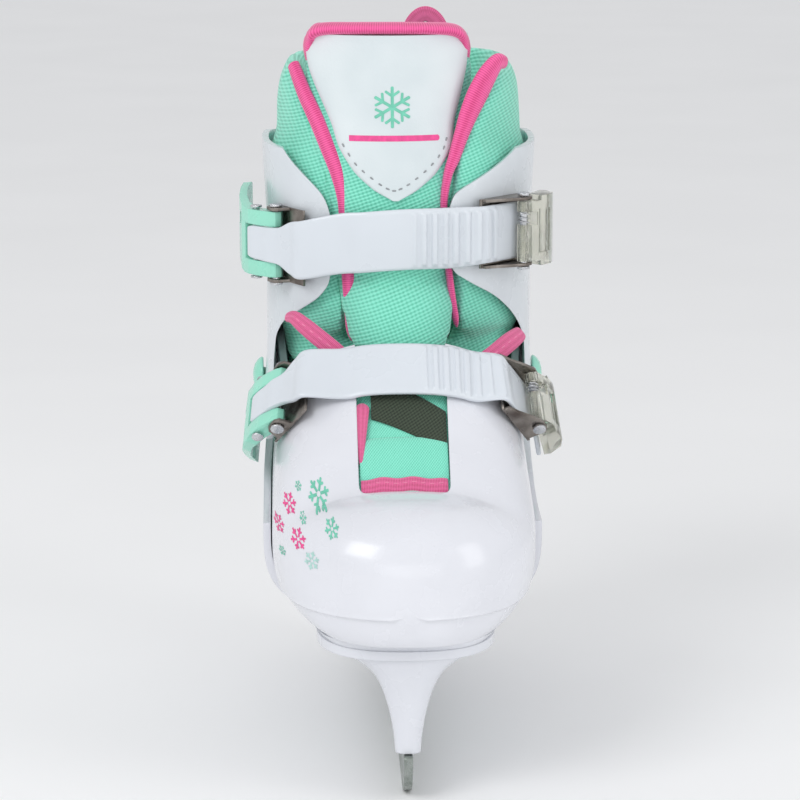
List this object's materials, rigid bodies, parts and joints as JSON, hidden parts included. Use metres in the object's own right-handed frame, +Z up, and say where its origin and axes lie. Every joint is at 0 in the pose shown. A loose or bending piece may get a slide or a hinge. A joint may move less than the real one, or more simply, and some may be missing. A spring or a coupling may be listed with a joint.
{
  "type": "ice skate",
  "caption": "Right-foot buckle ice skate with a sliding two-piece hard shell, hinged cuff, padded liner, ladder straps with cam levers and a steel runner.",
  "frame": {"origin": "on the runner's ice edge, half way along its flat length", "axes": "+Z up, toe towards -Y, the wearer's left (viewer's right from the toe end) is +X"},
  "size_m": [0.1229, 0.2375, 0.2713],
  "materials": {
    "white_shell": "glossy injection-moulded plastic",
    "mint_plastic": "glossy moulded plastic",
    "clear_plastic": "smoky clear moulded plastic",
    "runner_steel": "ground",
    "bright_steel": "plated",
    "dark_steel": "dark plated pressing",
    "mint_fabric": "ribbed knit over foam",
    "pink_fabric": "woven binding",
    "dark_knit": "stretch knit",
    "patch_leather": "smooth synthetic leather"
  },
  "bodies": {
    "heel": {"heel_shell": "white_shell", "blade_holder": "white_shell", "blade": "runner_steel", "blade_rivet_front": "bright_steel", "blade_rivet_rear": "bright_steel", "sole_screw_1": "bright_steel", "sole_screw_2": "bright_steel", "sole_screw_3": "bright_steel", "sole_screw_4": "bright_steel", "footbed": "dark_knit", "liner_heel": "mint_fabric", "cuff_rivet_left": "mint_plastic", "cuff_rivet_right": "mint_plastic"},
    "toe": {"toe_shell": "white_shell", "liner_toe": "mint_fabric", "tongue_lower": "mint_fabric", "vamp_binding_left": "pink_fabric", "vamp_binding_right": "pink_fabric", "vamp_gusset": "dark_knit", "vamp_hem": "pink_fabric", "lower_lever_base": "dark_steel", "lower_lever_rivet": "bright_steel", "lower_lever_pin": "dark_steel", "lower_receiver": "dark_steel", "lower_receiver_rivet": "bright_steel", "lower_release_pin": "bright_steel", "lower_release_spring": "bright_steel", "lower_strap": "white_shell"},
    "cuff": {"cuff_shell": "white_shell", "liner_cuff": "mint_fabric", "tongue": "mint_fabric", "tongue_patch": "patch_leather", "tongue_piping": "pink_fabric", "collar_binding_left": "pink_fabric", "collar_binding_right": "pink_fabric", "pull_loop": "pink_fabric", "upper_lever_base": "dark_steel", "upper_lever_rivet": "bright_steel", "upper_lever_pin": "dark_steel", "upper_receiver": "dark_steel", "upper_receiver_rivet": "bright_steel", "upper_release_pin": "bright_steel", "upper_release_spring": "bright_steel", "upper_strap": "white_shell"},
    "upper_lever_arm": {"upper_lever": "mint_plastic", "upper_strap_pin": "bright_steel"},
    "lower_lever_arm": {"lower_lever": "mint_plastic", "lower_strap_pin": "bright_steel"},
    "upper_release_arm": {"upper_release": "clear_plastic"},
    "lower_release_arm": {"lower_release": "clear_plastic"},
    "size_lock": {"size_knob": "mint_plastic", "size_lock_plate": "dark_steel"}
  },
  "joints": [
    {"name": "size_slide", "type": "slide", "parent": "heel", "child": "toe", "axis": [0, -1, 0], "range_m": [0, 0.02]},
    {"name": "cuff_pivot", "type": "hinge", "parent": "heel", "child": "cuff", "pos_m": [0.0015, 0.043, 0.128], "axis": [1, 0, 0], "range_deg": [-4, 8], "deforming": ["tongue", "liner_cuff"]},
    {"name": "size_lock_turn", "type": "hinge", "parent": "heel", "child": "size_lock", "pos_m": [0, -0.03, 0.05], "axis": [0, 0, 1], "range_deg": [0, 90]},
    {"name": "upper_lever_hinge", "type": "hinge", "parent": "cuff", "child": "upper_lever_arm", "pos_m": [-0.04714, -0.00333, 0.189], "axis": [0, 0, 1], "range_deg": [0, 95], "deforming": ["upper_strap"]},
    {"name": "lower_lever_hinge", "type": "hinge", "parent": "toe", "child": "lower_lever_arm", "pos_m": [-0.046, -0.04034, 0.1361], "axis": [0.072, 0.7758, 0.6268], "range_deg": [0, 95], "deforming": ["lower_strap"]},
    {"name": "upper_release_hinge", "type": "hinge", "parent": "cuff", "child": "upper_release_arm", "pos_m": [0.04825, -0.01126, 0.195], "axis": [0, 0, -1], "range_deg": [0, 25], "stiffness_Nm_per_rad": 0.05},
    {"name": "lower_release_hinge", "type": "hinge", "parent": "toe", "child": "lower_release_arm", "pos_m": [0.05107, -0.0381, 0.13393], "axis": [0.0735, -0.7747, -0.6281], "range_deg": [0, 25], "stiffness_Nm_per_rad": 0.05}
  ]
}
